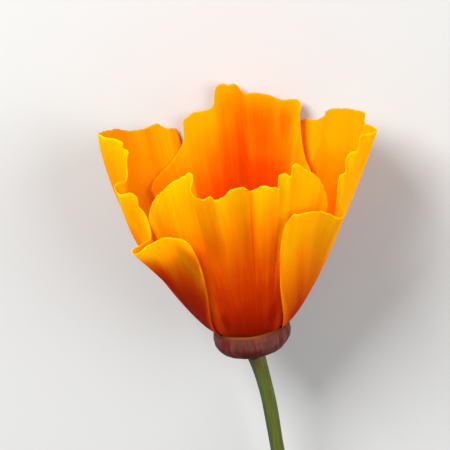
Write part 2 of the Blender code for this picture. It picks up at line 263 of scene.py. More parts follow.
leftPetal = {
    "facing": 180, "inner": False, "seed": 8, "footHalfTurn": 35, "claw": 0.15, "fan": 2.2,
    "fray": 0.12, "streaks": 0.16, "paintedLightLift": (0, 0.4), "marginPaintedLight": 0.3,
    "patches": [(0.67, 0.3, 0.4, 0.36, -0.36), (0.9, 0.1, 0.92, 0.12, -0.3),
                (0.31, 0.08, 0.93, 0.12, -0.12), (0.22, 0.05, 0.7, 0.1, -0.1),
                (0.6, 0.07, 0.72, 0.16, -0.25), (-0.06, 0.12, 0.88, 0.14, -0.12),
                (-0.45, 0.1, 0.78, 0.25, 0.22)],
    "paintedShades": [(0.74, 0.35, 0.58, 0.22, 0.28), (0.63, 0.04, 0.84, 0.06, 0.2),
               (0.84, 0.07, 0.84, 0.14, 0.34), (0.3, 0.08, 0.92, 0.12, 0.1)],
    "pleats": [(-30, 5, 6, 0.3, 16)],
    "rim": [
        (63, 15.8, 17.8), (64, 16.5, 19.8), (63.5, 17.2, 21.6), (62.5, 17.6, 22.9),
        (61, 18, 23.8), (57, 18.3, 24.4), (52, 18.6, 24.6), (47.5, 19, 24.3), (42.5, 19.6, 23.4),
        (40.5, 20.3, 22.7), (39.5, 21.4, 22.1), (39, 22.4, 22.1), (38.5, 22.7, 22.4),
        (37.5, 22.2, 22.7), (37, 21.1, 22.8), (36.5, 19.8, 22.9), (36.5, 18.3, 23.2),
        (36, 17.9, 23.7), (35, 17.6, 24.5), (33.5, 17.8, 26.3), (31.5, 18.1, 27.5),
        (30, 18.6, 28.3), (29.5, 18.5, 29.7), (28, 18.9, 30.4), (26.5, 20, 30.8),
        (25, 21, 30.8), (23.5, 21.4, 31.8), (22.5, 20.8, 32.3), (21.5, 19.2, 32.2),
        (19.5, 18.5, 33.2), (17.5, 18.2, 35.2), (16, 17.6, 36.5), (14, 18.3, 37.1),
        (14, 18.1, 37.7), (12.5, 18.3, 38.1), (7.5, 20, 38.3), (1.5, 21.5, 38.4),
        (-3, 21.4, 38.1), (-8.5, 20.9, 37.5),
        (-21.5, 20.4, 36.1), (-33.5, 20.2, 34.3), (-44, 20.1, 33.3), (-49, 20.3, 33.1),
        (-54, 20.5, 33), (-56.5, 20.3, 32.3), (-59, 20.2, 31.7), (-62, 20.5, 31.5),
        (-64, 20.6, 31.2), (-65, 20.8, 30.6), (-65, 20.9, 29.9), (-64.5, 20.7, 29.2),
        (-64.5, 20.7, 28.5), (-66, 20.5, 27.4), (-68, 19.8, 25.5), (-69, 18.4, 22.5),
    ],
    "swells": [(30, 11, 22, 7, 0.9)],
}
rightPetal = {
    "facing": 0, "inner": False, "seed": 12, "footHalfTurn": 40, "claw": 0.25, "fan": 2,
    "fray": 0.12, "streaks": 0.12, "paintedLightLift": (0.1, 0.12), "marginPaintedLight": 0.3,
    "patches": [(0.12, 0.26, 0.9, 0.45, 0.35), (-0.69, 0.07, 0.86, 0.12, 0.22)],
    "paintedShades": [(0.47, 0.1, 0.8, 0.35, 0.16)],
    "pleats": [(-30, 6, 4, -0.3, 18), (12, 3, 4, 0.3, 22)],
    "rim": [
        (-67, 15.4, 16.8), (-68.5, 17.2, 21.8), (-67.5, 18.6, 25.2), (-64.5, 19.8, 27.3),
        (-54.5, 20.4, 27.2), (-47, 20.2, 26.3), (-43, 20.5, 25.2), (-40, 20.9, 24.4),
        (-38, 21.2, 24.2), (-36, 21.4, 24.5), (-34, 21, 24.7), (-32, 20.1, 25.2),
        (-30.5, 19.4, 26.2), (-29, 19, 27.6), (-27, 18.8, 28.8), (-25.5, 18.9, 29.5),
        (-23.5, 19.4, 29.8), (-22.5, 19.6, 30.3), (-21, 19.5, 31.3), (-19, 19.7, 32.2),
        (-17.5, 20.1, 32.6), (-14.5, 21.1, 32.7), (-13.5, 21.3, 33.3), (-11.5, 21.4, 34.5),
        (-7, 22.4, 34.4), (-3, 24.1, 34.1), (1, 24.2, 33.9), (6, 23.5, 33.9), (8, 22.8, 34.2),
        (8.5, 22.9, 35.1), (10, 23, 35.3), (14.5, 22.7, 35.3), (24, 22.3, 34.7),
        (33.5, 21.8, 34.1), (39.5, 22, 33.1), (41.5, 22.3, 32.6), (42.5, 22.5, 31.9),
        (45.5, 22.5, 31.2), (48, 22.5, 30.6), (52, 22.7, 30.5), (56.5, 22.7, 30.1),
        (60.5, 21.9, 29.4), (65, 20.8, 27), (68, 19, 22),
    ],
    "swells": [],
}


# The cup's reach at its bottom plus the widening times a power of the height above it.
def cupReach(cup, height):
    foot, widening, power = cups[cup]
    return foot + widening * np.maximum(height - cups["bottom"], 0) ** power


# The rim is a smooth curve through its points. Rough waves are added to its reach and its height,
# times the fray and a smooth step in from each side. across falls from 1 to -1 along it.
def petalRim(petal):
    turn, reach, height = np.array(petal["rim"], float).T
    corners = roundAxis(reach, np.radians(turn), height)
    rim, along = smoothCurve(corners, petalSheet["columns"])
    across = 1 - 2 * along / along[-1]
    calm = smoothStep((1 - abs(across)) / petalSheet["calmMargin"])
    fray = petal["fray"] * calm
    sway = roughWave(along, petalSheet["rimSwaySpacing"], petal["seed"])
    rimTurn = np.degrees(np.arctan2(rim[:, 1], rim[:, 0]))
    rimReach = np.hypot(rim[:, 0], rim[:, 1]) + petalSheet["rimSway"] * fray * sway
    rimHeight = rim[:, 2] + fray * twoWaves(along, petalSheet["rimCrinkle"], petal["seed"] + 1)
    return rimTurn, rimReach, rimHeight, across, calm


# What an outer petal's sides add to its reach: the way from the outer cup to just off the inner
# one, times a smooth step in turn and one less the square of the rise.
def sideLobes(turn, height, rise):
    lobe = smoothStep((abs(turn) - petalSheet["lobeStart"]) / petalSheet["lobeBlend"])
    inwards = cupReach("inner", height) + petalSheet["lobeGap"] - cupReach("outer", height)
    return lobe * inwards * (1 - rise**2)


# Sum of bell curves in turn and height, times one less the sixth power of the rise.
def swelling(petal, turn, height, rise):
    added = 0 * turn
    for middle, halfWidth, level, halfHeight, amount in petal["swells"]:
        fall = ((turn - middle) / halfWidth) ** 2 + ((height - level) / halfHeight) ** 2
        added += amount * np.exp(-fall) * (1 - rise**6)
    return added


# Sum of bell curves in turn, each times a smooth step in height from its start on.
def folding(petal, turn, height):
    added = 0 * turn
    for middle, before, after, depth, start in petal["pleats"]:
        fall = ((turn - middle) / np.where(turn < middle, before, after)) ** 2
        grown = smoothStep((height - start) / petalSheet["pleatBlend"])
        added += depth * np.exp(-fall) * grown
    return added


# Each column is a rib from the foot to its own point of the rim, and rise runs from 0 to 1 up it.
# The turn goes from the foot's to the rim's as one less a power of what is left of the rise. The
# reach is the cup's plus the cube of the rise times what the rim stands off the cup, so that the
# rim's waves fade out downwards. Lobes, swells, pleats and ripples are then added to it.
def petalSurface(petal):
    rimTurn, rimReach, rimHeight, across, calm = petalRim(petal)
    rise = (np.linspace(0, 1, petalSheet["rows"]) ** petalSheet["rowPower"])[:, None]
    claw = 1 - petal["claw"] * (1 - smoothStep(rise / petalSheet["clawTop"]))
    side = np.sign(petal["rim"][0][0])
    footTurn = across * petal["footHalfTurn"] * side * claw
    foot = petalSheet["footHeight"]
    height = foot + (rimHeight - foot) * rise
    turn = footTurn + (rimTurn - footTurn) * (1 - (1 - rise) ** petal["fan"])
    cup = "inner" if petal["inner"] else "outer"
    reach = cupReach(cup, height) + (rimReach - cupReach(cup, rimHeight)) * rise**3
    if not petal["inner"]:
        reach += sideLobes(turn, height, rise)
    fold = folding(petal, turn, height)
    reach += swelling(petal, turn, height, rise) + fold
    span = np.radians(rimTurn - rimTurn.min()) * petalSheet["meanReach"]
    ripple = twoWaves(span, petalSheet["rippleWaves"], petal["seed"] + 30)
    rippled = smoothStep((rise - petalSheet["rippleStart"]) / petalSheet["rippleBlend"])
    reach += petalSheet["ripple"] * ripple * calm * rippled
    sheet = roundAxis(reach, np.radians(turn + petal["facing"]), height)
    # For the colours the rise is read against a rim averaged over the turns nearby, so that its
    # sudden steps don't show lower down.
    near = np.exp(-(((rimTurn[:, None] - rimTurn) / petalSheet["calming"]) ** 2))
    calmRim = near @ rimHeight / near.sum(axis=1)
    share = (height - foot) / (calmRim - foot)
    return sheet, across, span, rise, share, fold


# Lengths along the ribs from the foot, and the shortest way to the rim and to a side margin.
def sheetLengths(sheet):
    rows, columns = sheet.shape[:2]
    upSteps = np.linalg.norm(np.diff(sheet, axis=0), axis=2)
    upLength = np.vstack([np.zeros(columns), np.cumsum(upSteps, axis=0)])
    sideSteps = np.linalg.norm(np.diff(sheet, axis=1), axis=2)
    sideLength = np.hstack([np.zeros((rows, 1)), np.cumsum(sideSteps, axis=1)])
    toRim = upLength[-1] - upLength
    toMargin = np.minimum(sideLength, sideLength[:, -1:] - sideLength)
    return upLength, toRim, toMargin


# Quads of the outer and the inner face, and of the wall that joins them round their border.
def shellFaces(rows, columns):
    count = rows * columns
    outer = gridFaces(rows, columns)
    inner = gridFaces(rows, columns, count)[:, ::-1]
    index = np.arange(count).reshape(rows, columns)
    border = np.concatenate([index[0, :-1], index[:-1, -1], index[-1, :0:-1], index[:0:-1, 0]])
    beyond = np.roll(border, -1)
    wall = np.stack([border, border + count, beyond + count, beyond], 1)
    return np.concatenate([outer, inner, wall])


# The sheet moved half its thickness to either side of itself, after its veins, rough waves across
# the ribs, are raised along its normal. It thins by a smooth step towards its edge. The marks are
# what the colours are read from.
def petalShell(name, petal):
    sheet, across, span, rise, share, fold = petalSurface(petal)
    quads = shellFaces(*sheet.shape[:2])
    normal = unit(np.cross(np.gradient(sheet, axis=1), np.gradient(sheet, axis=0)))
    if (normal * sheet * [1, 1, 0]).sum() < 0:  # it points at the axis
        normal, quads = -normal, quads[:, ::-1]
    veins = twoWaves(span, petalSheet["veinWaves"], petal["seed"] + 20)
    shown = smoothStep(rise / petalSheet["veinStart"]) * (1 - petalSheet["veinFading"] * rise)
    relief = petalSheet["veinRelief"] * veins * shown
    sheet = sheet + normal * relief[..., None]
    upLength, toRim, toMargin = sheetLengths(sheet)
    toEdge = np.minimum(toRim, toMargin)
    thin = petalSheet["rimThickness"]
    added = (petalSheet["thickness"] - thin) * smoothStep(toEdge / petalSheet["thinning"])
    half = normal * (thin + added)[..., None] / 2
    points = np.concatenate([(sheet + half).reshape(-1, 3), (sheet - half).reshape(-1, 3)])
    place = together(span - span.max() / 2, upLength, toRim).reshape(-1, 3)
    shares = together(across, share, toMargin).reshape(-1, 3)
    fold = fold.reshape(-1)
    marks = {
        "petalPlace": np.concatenate([place, place]),
        "petalShare": np.concatenate([shares, shares]),
        "petalSide": together(np.repeat([0, 1], fold.size), np.append(fold, -fold), 0),
    }
    return buildMesh(name, points, quads, marks=marks)


# Turned and swept shapes.

# A profile of radius and height carried round the axis, its radius times one plus the wobble.
def turnedGrid(profile, columns, wobble=0):
    return roundAxis(profile[:, :1] * (1 + wobble), ringAngles(columns), profile[:, 1:])


# Points of a grid that is joined round, with a middle point for each end, its quads, and the
# triangles that close its ends. They face outwards where the rows run down a turned shape or
# along a tube.
def closedParts(grid, first=0):
    rows, columns = grid.shape[:2]
    points = np.concatenate([grid.reshape(-1, 3), grid[[0, -1]].mean(axis=1)])
    quads = gridFaces(rows, columns, first, around=True)[:, [0, 3, 2, 1]]
    ring = np.arange(columns)
    beside = (ring + 1) % columns
    start = first + rows * columns
    lastRow = first + (rows - 1) * columns
    opening = np.stack([np.full(columns, start), first + ring, first + beside], 1)
    ending = np.stack([np.full(columns, start + 1), lastRow + beside, lastRow + ring], 1)
    return points, quads, np.concatenate([opening, ending])


# Marks of a closed grid: the cosine and the sine round it and each row's value, and those of its
# two middle points.
def ringMarks(values, columns, endValue):
    angle = ringAngles(columns)
    rows = together(np.cos(angle), np.sin(angle), values[:, None]).reshape(-1, 3)
    return np.concatenate([rows, [[0, 0, 0], [0, 0, endValue]]])


# Rings square to the route. Each point is the radius times the section's share for its angle off
# the route, and the ring's first direction is square to the reference.
def tubeGrid(route, radii, reference, section):
    along = unit(np.gradient(route, axis=0))
    across = unit(np.cross(along, reference))
    beside = np.cross(across, along)
    angle = ringAngles(len(section))
    share = section * radii[:, None]
    wide = share[..., None] * np.cos(angle)[:, None] * across[:, None]
    high = share[..., None] * np.sin(angle)[:, None] * beside[:, None]
    return route[:, None] + wide + high


# Several closed grids as one mesh's points, quads and triangles.
def joinParts(grids):
    parts = []
    first = 0
    for grid in grids:
        parts.append(closedParts(grid, first))
        first += len(parts[-1][0])
    return [np.concatenate(kind) for kind in zip(*parts)]


# Collar.

collar = {
    "profile": [
        (4.3, 0.9), (4.7, 1.1), (6.1, 1.1), (6.45, 0.7), (6.58, 0), (6.6, -1), (6.4, -1.9),
        (5.8, -2.6), (4.4, -3.1), (3, -3.5), (2.1, -4), (1.6, -4.7),
    ],
    "rows": 120, "columns": 280, "boxColumns": 720,
    "wobble": 0.008,
    "folds": [(1, 7, 1), (0.7, 12, 4), (0.6, 19, 0), (0.18, 87, 1)],
    "creases": (0.3, 53), "creaseSway": (2, 3, 0),
    "evenTop": 2, "evenBottom": 3,  # lengths of the profile that have no wobble
    "tilt": 3,
    "lip": (5.6, 0.4, 0.3),  # its radius, half width and height
    "lipBottom": 0.5,
    "aside": 0.3,
    "taper": 0.055,  # share by which the underside is narrower
    "taperStart": 0.6, "taperBlend": 1.6,
}


def collarProfile():
    corners = [(radius, height, 0) for radius, height in collar["profile"]]
    profile, along = smoothCurve(corners, collar["rows"])
    return profile[:, :2], along


# Sines round the collar, folds and creases that sway, times a half sine down its side.
def collarWobble(along):
    angle = ringAngles(collar["columns"])
    sway = ringWaves(angle, [collar["creaseSway"]])
    waves = ringWaves(angle, [*collar["folds"], (*collar["creases"], sway)])
    even = collar["evenTop"] + collar["evenBottom"]
    down = np.clip((along - collar["evenTop"]) / (along[-1] - even), 0, 1)
    return collar["wobble"] * np.sin(math.pi * down)[:, None] * waves


# Where the flower's frame lies: the solid receptacle's box less that of its turned shape.
def placeFromFrame():
    grid = turnedGrid(collarProfile()[0], collar["boxColumns"])
    turned = laid(grid.reshape(-1, 3)) * millimetre
    low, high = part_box("receptacle")
    middle = (np.array(low) + np.array(high)) / 2
    return middle - (turned.min(axis=0) + turned.max(axis=0)) / 2


flowerPlace = placeFromFrame()


# The turned profile plus a bell curve for the lip and a slope for the tilt, narrowed below by a
# smooth step.
def makeCollar():
    profile, along = collarProfile()
    radius, height = profile.T
    grid = turnedGrid(profile, collar["columns"], collarWobble(along))
    middle, halfWidth, lipHeight = collar["lip"]
    lip = lipHeight * np.exp(-(((radius - middle) / halfWidth) ** 2))
    lip *= height > collar["lipBottom"]
    grid[..., 2] += lip[:, None] + grid[..., 0] * math.tan(math.radians(collar["tilt"]))
    tapering = smoothStep((-collar["taperStart"] - height) / collar["taperBlend"])
    grid[..., :2] *= 1 - collar["taper"] * tapering[:, None, None]
    grid[..., 0] += collar["aside"]
    points, quads, triangles = closedParts(grid)
    marks = ringMarks(along / along[-1], collar["columns"], 1)
    return buildMesh("collarFlesh", points, quads, triangles, {"collarPlace": marks})


# Stalk.

stalk = {
    "route": [
        (0.5, 0, -4.2), (1.05, 0, -6.8), (1.45, 0.2, -9.2), (2, 0.5, -13.5), (2.7, 1.5, -24),
        (3.8, 3, -38), (5.2, 4.8, -54), (6.6, 6.2, -68), (8, 7.2, -82),
    ],
    "rows": 400, "sides": 48,
    "radius": 1.2, "widening": 0.35, "wideningLength": 3.2,
    "uneven": 0.02, "unevenSpacing": 6, "unevenSeed": 4,
    "ridges": [(0.018, 9, 0), (0.01, 16, 1)],
    "cutLength": 5,  # the cut end's middle is coloured as if it lay this much further on
}


# A tube with ridges along it. The radius gains an exponential fall from the collar, and a rough
# wave scales it.
def makeStalk():
    route, along = smoothCurve(stalk["route"], stalk["rows"])
    radii = stalk["radius"] + stalk["widening"] * np.exp(-along / stalk["wideningLength"])
    uneven = roughWave(along, stalk["unevenSpacing"], stalk["unevenSeed"])
    radii = radii * (1 + stalk["uneven"] * uneven)
    ridges = 1 + ringWaves(ringAngles(stalk["sides"]), stalk["ridges"])
    points, quads, triangles = closedParts(tubeGrid(route, radii, [0, 1, 0], ridges))
    marks = ringMarks(along, stalk["sides"], along[-1] + stalk["cutLength"])
    return buildMesh("stalk", points, quads, triangles, {"stalkPlace": marks})


# Stamens.

threadReference = [0.3, 1, 0]  # no thread runs this way, so that its rings don't twist

crown = {
    "count": 20, "rows": 46, "sides": 14,
    "length": 13, "lean": 3.6,
    "shorter": 2.2, "steeper": 1.6,  # for every other thread
    "chances": (0.8, 0.4, 0.01),  # of the length, the lean and the sway
    "curl": 0.03,
    "filamentRadius": 0.2, "sacRadius": 0.55, "sacStart": 0.5,
    "lobes": (0.85, 0.28),  # the section's share of the radius and how far it parts
    "ringRadius": 3.3, "ringThickness": 0.5, "ringHeight": 1.7, "ringSwelling": 0.12,
    "ringRows": 16, "ringColumns": 100,
    "seed": 7,
}


# A thread whose reach grows with the power 1.5 of its length's share. Its radius is the filament's
# plus a half sine to the power 0.4 along the sac, and a cosine of twice the angle parts the lobes.
def stamenThread(middle, lean, length, sway, phase):
    s = np.linspace(0, 1, crown["rows"])
    reach = crown["ringRadius"] + lean * s**1.5
    angle = middle + sway + crown["curl"] * np.sin(3 * s + phase)
    route = roundAxis(reach, angle, crown["ringHeight"] + length * s)
    sac = np.clip((s - crown["sacStart"]) / (1 - crown["sacStart"]), 0, 1)
    swelling = (crown["sacRadius"] - crown["filamentRadius"]) * np.sin(math.pi * sac) ** 0.4
    whole, parting = crown["lobes"]
    section = whole - parting * np.cos(2 * (ringAngles(crown["sides"]) - middle))
    return tubeGrid(route, crown["filamentRadius"] + swelling, threadReference, section)


# The ring that the threads stand on: a torus whose thickness swells once for each thread.
def crownRing(first):
    rows, columns = crown["ringRows"], crown["ringColumns"]
    around = ringAngles(columns)
    section = ringAngles(rows)[:, None]
    swells = ringWaves(around, [(crown["ringSwelling"], crown["count"], 0)])
    thick = crown["ringThickness"] * (1 + swells)
    radius = crown["ringRadius"] + thick * np.cos(section)
    ring = roundAxis(radius, around, crown["ringHeight"] + thick * np.sin(section))
    firstRow = first + np.arange(columns)
    lastRow = firstRow + (rows - 1) * columns
    closing = np.stack([lastRow, np.roll(lastRow, -1), np.roll(firstRow, -1), firstRow], 1)
    quads = np.concatenate([gridFaces(rows, columns, first, around=True), closing])
    return ring.reshape(-1, 3), quads


# The draws follow those of the solid threads, which sway at eight points each. Here a whole thread
# takes the sway of its middle point, so that it stands where the solid one does.
def makeStamens():
    chance = random.Random(crown["seed"])
    lengthChance, leanChance, swayChance = crown["chances"]
    threads = []
    for i in range(crown["count"]):
        inner = i % 2
        length = crown["length"] - crown["shorter"] * inner
        length += chance.uniform(-lengthChance, lengthChance)
        lean = crown["lean"] - crown["steeper"] * inner
        lean += chance.uniform(-leanChance, leanChance)
        sways = [chance.uniform(-swayChance, swayChance) for _ in range(8)]
        threads.append(stamenThread(math.tau * i / crown["count"], lean, length, sways[4], i))
    points, quads, triangles = joinParts(threads)
    ring, ringQuads = crownRing(len(points))
    points = np.concatenate([points, ring])
    quads = np.concatenate([quads, ringQuads])
    return buildMesh("stamenCrown", points, quads, triangles)


# Pistil.

ovary = {
    "profile": [
        (0.9, 1.2), (1.05, 2), (1.15, 4.2), (0.95, 7.2), (0.7, 9.7), (0.55, 11.1), (0.25, 11.3),
    ],
    "rows": 90, "columns": 60,
    "ribs": 10, "ribDepth": 0.06,
    "stigmas": (8, 4.5, 7.5, 4),  # lengths of the threads
    "stigmaTurn": 0.3,  # share of the way from one thread to the next
    "stigmaFoot": 10.3, "stigmaStart": 0.15, "stigmaLean": 0.45,
    "stigmaRadius": 0.32, "stigmaTaper": 0.55,
    "stigmaRows": 50, "stigmaSides": 14,
}


# A thread whose reach grows with the power 1.6 of its length's share, and that tapers evenly.
def stigmaThread(middle, length):
    s = np.linspace(0, 1, ovary["stigmaRows"])
    reach = ovary["stigmaStart"] + length * ovary["stigmaLean"] * s**1.6
    route = roundAxis(reach, middle, ovary["stigmaFoot"] + length * s)
    radii = ovary["stigmaRadius"] * (1 - ovary["stigmaTaper"] * s)
    return tubeGrid(route, radii, threadReference, np.ones(ovary["stigmaSides"]))


# The profile turned round, with ribs of a cosine that fade by a half sine at both ends, and the
# stigmas' threads.
def makePistil():
    corners = [(radius, height, 0) for radius, height in ovary["profile"]]
    profile, along = smoothCurve(corners, ovary["rows"])
    ribs = np.cos(ovary["ribs"] * ringAngles(ovary["columns"]))
    wobble = ovary["ribDepth"] * ribs * np.sin(math.pi * along / along[-1])[:, None]
    parts = [turnedGrid(profile[:, :2], ovary["columns"], wobble)[::-1]]
    for i, length in enumerate(ovary["stigmas"]):
        middle = math.tau * (i + ovary["stigmaTurn"]) / len(ovary["stigmas"])
        parts.append(stigmaThread(middle, length))
    return buildMesh("ovaryAndStigmas", *joinParts(parts))


# Materials: each is a small graph of nodes, and its functions take a socket or a plain value.

class Graph:
    def __init__(self, name):
        self.material = bpy.data.materials.new(name)
        self.material.use_nodes = True
        self.nodes = self.material.node_tree.nodes
        self.links = self.material.node_tree.links
        self.nodes.clear()

    # Links a socket or sets a value. A colour of three numbers gets an alpha of 1.
    def put(self, socket, value):
        if isinstance(value, bpy.types.NodeSocket):
            self.links.new(value, socket)
        elif isinstance(value, tuple) and len(value) == 3 and socket.type == "RGBA":
            socket.default_value = (*value, 1)
        else:
            socket.default_value = value

    # A node with values for the inputs named, spaces as underscores.
    def add(self, kind, **inputs):
        node = self.nodes.new(kind)
        for name, value in inputs.items():
            self.put(node.inputs[name.replace("_", " ")], value)
        return node

    # The first output of a node whose inputs take the values in order.
    def feed(self, kind, *values, **settings):
        node = self.nodes.new(kind)
        for name, value in settings.items():
            setattr(node, name, value)
        for socket, value in zip(node.inputs, values):
            self.put(socket, value)
        return node.outputs[0]

    def math(self, operation, *values):
        return self.feed("ShaderNodeMath", *values, operation=operation)

    def times(self, first, second):
        return self.math("MULTIPLY", first, second)

    def plus(self, first, second):
        return self.math("ADD", first, second)

    # First up to low and last from high on, with a smooth step between.
    def span(self, value, low, high, first=0, last=1):
        ends = (value, low, high, first, last)
        return self.feed("ShaderNodeMapRange", *ends, interpolation_type="SMOOTHSTEP")

    # Rises from 0 over the first two places to the amount, and falls back over the next two.
    def band(self, value, places):
        start, full, fading, end, amount = places
        return self.times(self.span(value, start, full), self.span(value, end, fading, 0, amount))

    def vector(self, x, y, z):
        return self.feed("ShaderNodeCombineXYZ", x, y, z)

    def parts(self, attribute):
        read = self.nodes.new("ShaderNodeAttribute")
        read.attribute_name = attribute
        split = self.add("ShaderNodeSeparateXYZ", Vector=read.outputs["Vector"])
        return tuple(split.outputs)

    def noise(self, vector, scale, detail):
        node = self.add("ShaderNodeTexNoise", Vector=vector, Scale=scale, Detail=detail)
        return node.outputs["Fac"]

    def mix(self, factor, first, second):
        node = self.nodes.new("ShaderNodeMix")
        node.data_type = "RGBA"
        self.put(node.inputs[0], factor)
        self.put(node.inputs[6], first)
        self.put(node.inputs[7], second)
        return node.outputs[2]

    def ramp(self, value, stops):
        node = self.nodes.new("ShaderNodeValToRGB")
        self.put(node.inputs[0], value)
        elements = node.color_ramp.elements
        while len(elements) < len(stops):
            elements.new(0.5)
        for element, (place, colour) in zip(elements, stops):
            element.position = place
            element.color = (*colour, 1)
        return node.outputs[0]

    def bump(self, height, relief):
        distance, strength = relief
        node = self.add("ShaderNodeBump", Height=height, Distance=distance, Strength=strength)
        return node.outputs[0]

    # Between the two ends as the noise goes over its middle range.
    def varied(self, noise, ends):
        return self.span(noise, 0.3, 0.7, *ends)

    def principled(self, **inputs):
        return self.add("ShaderNodeBsdfPrincipled", **inputs).outputs[0]

    def finish(self, shader):
        out = self.nodes.new("ShaderNodeOutputMaterial")
        self.links.new(shader, out.inputs["Surface"])
        return self.material


# A noise is the share that its pattern counts lengths along the ribs by, its scale and detail, and
# a seed that is added to the petal's. A relief is a distance in metres and a strength.
petalLook = {
    "outside": [
        (0, (0.36, 0.01, 0)), (0.15, (0.52, 0.018, 0)), (0.34, (0.66, 0.064, 0)),
        (0.56, (0.84, 0.215, 0)), (0.78, (1, 0.42, 0)), (1, (1, 0.64, 0.001)),
    ],
    "inside": [
        (0, (0.45, 0.01, 0)), (0.3, (0.8, 0.03, 0)), (0.55, (0.95, 0.09, 0)),
        (0.75, (1, 0.22, 0)), (1, (1, 0.42, 0.001)),
    ],
    "noises": {
        "coarse": (0.08, 0.4, 3, 0),
        "fine": (0.05, 2.2, 3, 3),
        "blotch": (1, 0.13, 2, 7),
        "grain": (0.25, 5, 2, 0),
        "crinkle": (0.12, 1.1, 2, 5),
    },
    "coarse": 0.2, "blotch": 0.22,
    "footCalm": (0, 0.25, 0.4, 1),  # the noises count 0.4 at the foot and whole from 0.25 up
    # painted shade and light from the pleats: their hollows darker, their ridges lighter
    "foldShade": 0.11,
    # width of the painted light along the side margins
    "marginLightWidth": 2.4,
    # the colour of the painted shade
    "paintedShade": (0.13, 0.035, 0),
    # painted highlight along the rim: its colour, its width, and how strong it is outside and
    # inside
    "rim": (1, 0.82, 0.002), "rimHighlightWidth": 0.3,
    "rimHighlightShares": (0.9, 0.15),  # outside and inside
    "heights": {"fine": 0.6, "grain": 0.25, "crinkle": 1.5}, "relief": (0.00016, 0.7),
    "roughness": (0.46, 0.62),
    "sheen": (1, 0.45, 0.04), "sheenWeight": 0.02, "sheenRoughness": 0.4, "specular": 0.025,
    "through": (1, 0.45, 0), "throughTint": 0.35, "throughShare": 0.5,
}


# The petal's marks as sockets.
def petalReadings(graph):
    at = {}
    at["along"], at["rib"], at["toRim"] = graph.parts("petalPlace")
    at["across"], at["rise"], at["toMargin"] = graph.parts("petalShare")
    at["inside"], at["fold"], _ = graph.parts("petalSide")
    return at


def petalNoise(graph, at, name, petal):
    stretch, scale, detail, seed = petalLook["noises"][name]
    place = graph.vector(at["along"], graph.times(at["rib"], stretch), petal["seed"] + seed)
    return graph.noise(place, scale, detail)


# The patch's amount in its middle, falling off by a smooth step in the square of the distance.
def spot(graph, at, patch):
    middle, halfWidth, height, halfHeight, amount = patch
    aside = graph.math("DIVIDE", graph.plus(at["across"], -middle), halfWidth)
    above = graph.math("DIVIDE", graph.plus(at["rise"], -height), halfHeight)
    distance = graph.plus(graph.math("POWER", aside, 2), graph.math("POWER", above, 2))
    return graph.span(distance, 0, 2, amount, 0)


# The level that the colours are read at: the share of the rise plus the lift, which is painted
# light, the fold's painted shade, noise, which counts less at the foot, patches, partly stains and
# partly painted light and shade, and painted light at the margins.
def petalLevel(graph, at, noises, petal):
    # The lift is painted light, outside and inside.
    level = graph.plus(at["rise"], graph.span(at["inside"], 0, 1, *petal["paintedLightLift"]))
    # Painted shade in the pleats' hollows and painted light on their ridges.
    level = graph.math("MULTIPLY_ADD", at["fold"], petalLook["foldShade"], level)
    counted = graph.span(at["rise"], *petalLook["footCalm"])
    amounts = (petalLook["coarse"], petal["streaks"], petalLook["blotch"])
    for name, amount in zip(("coarse", "fine", "blotch"), amounts):
        shift = graph.math("MULTIPLY_ADD", noises[name], amount, -amount / 2)
        level = graph.math("MULTIPLY_ADD", shift, counted, level)
    # Patches: partly the petal's own stains and tone, partly painted light and painted shade.
    for patch in petal["patches"]:
        level = graph.plus(level, spot(graph, at, patch))
    # Painted light along the side margins.
    margin = graph.span(at["toMargin"], 0, petalLook["marginLightWidth"], petal["marginPaintedLight"], 0)
    return graph.plus(level, margin)


# Deep red at the foot through orange to yellow, in streaks that follow the ribs, with spots of
# painted shade laid over it and a painted highlight along the rim.
def petalColour(graph, at, level, petal):
    outside = graph.ramp(level, petalLook["outside"])
    within = graph.ramp(level, petalLook["inside"])
    colour = graph.mix(at["inside"], outside, within)
    # Spots of painted shade.
    for paintedShade in petal["paintedShades"]:
        colour = graph.mix(spot(graph, at, paintedShade), colour, petalLook["paintedShade"])
    # A painted highlight along the rim, strong outside and faint inside.
    edge = graph.span(at["toRim"], petalLook["rimHighlightWidth"], 0)
    edge = graph.times(edge, graph.span(at["inside"], 0, 1, *petalLook["rimHighlightShares"]))
    return graph.mix(edge, colour, petalLook["rim"])


# Half of the light is thrown back with a faint sheen, and half goes through and comes out tinted.
def petalMaterial(name, petal):
    graph = Graph(name)
    at = petalReadings(graph)
    noises = {kind: petalNoise(graph, at, kind, petal) for kind in petalLook["noises"]}
    colour = petalColour(graph, at, petalLevel(graph, at, noises, petal), petal)
    height = 0
    for kind, amount in petalLook["heights"].items():
        height = graph.math("MULTIPLY_ADD", noises[kind], amount, height)
    normal = graph.bump(height, petalLook["relief"])
    surface = graph.principled(
        Base_Color=colour, Roughness=graph.varied(noises["grain"], petalLook["roughness"]),
        Normal=normal, Sheen_Weight=petalLook["sheenWeight"],
        Sheen_Roughness=petalLook["sheenRoughness"], Sheen_Tint=petalLook["sheen"],
        Specular_IOR_Level=petalLook["specular"], Specular_Tint=petalLook["sheen"],
    )
    through = graph.mix(petalLook["throughTint"], colour, petalLook["through"])
    glow = graph.add("ShaderNodeBsdfTranslucent", Color=through, Normal=normal).outputs[0]
    both = graph.feed("ShaderNodeMixShader", petalLook["throughShare"], surface, glow)
    return graph.finish(both)


# Noise round a piece whose third mark is its length, which is multiplied by the noise's stretch.
def ringNoise(graph, ring, noise):
    stretch, scale, detail = noise
    cosine, sine, length = ring
    return graph.noise(graph.vector(cosine, sine, graph.times(length, stretch)), scale, detail)


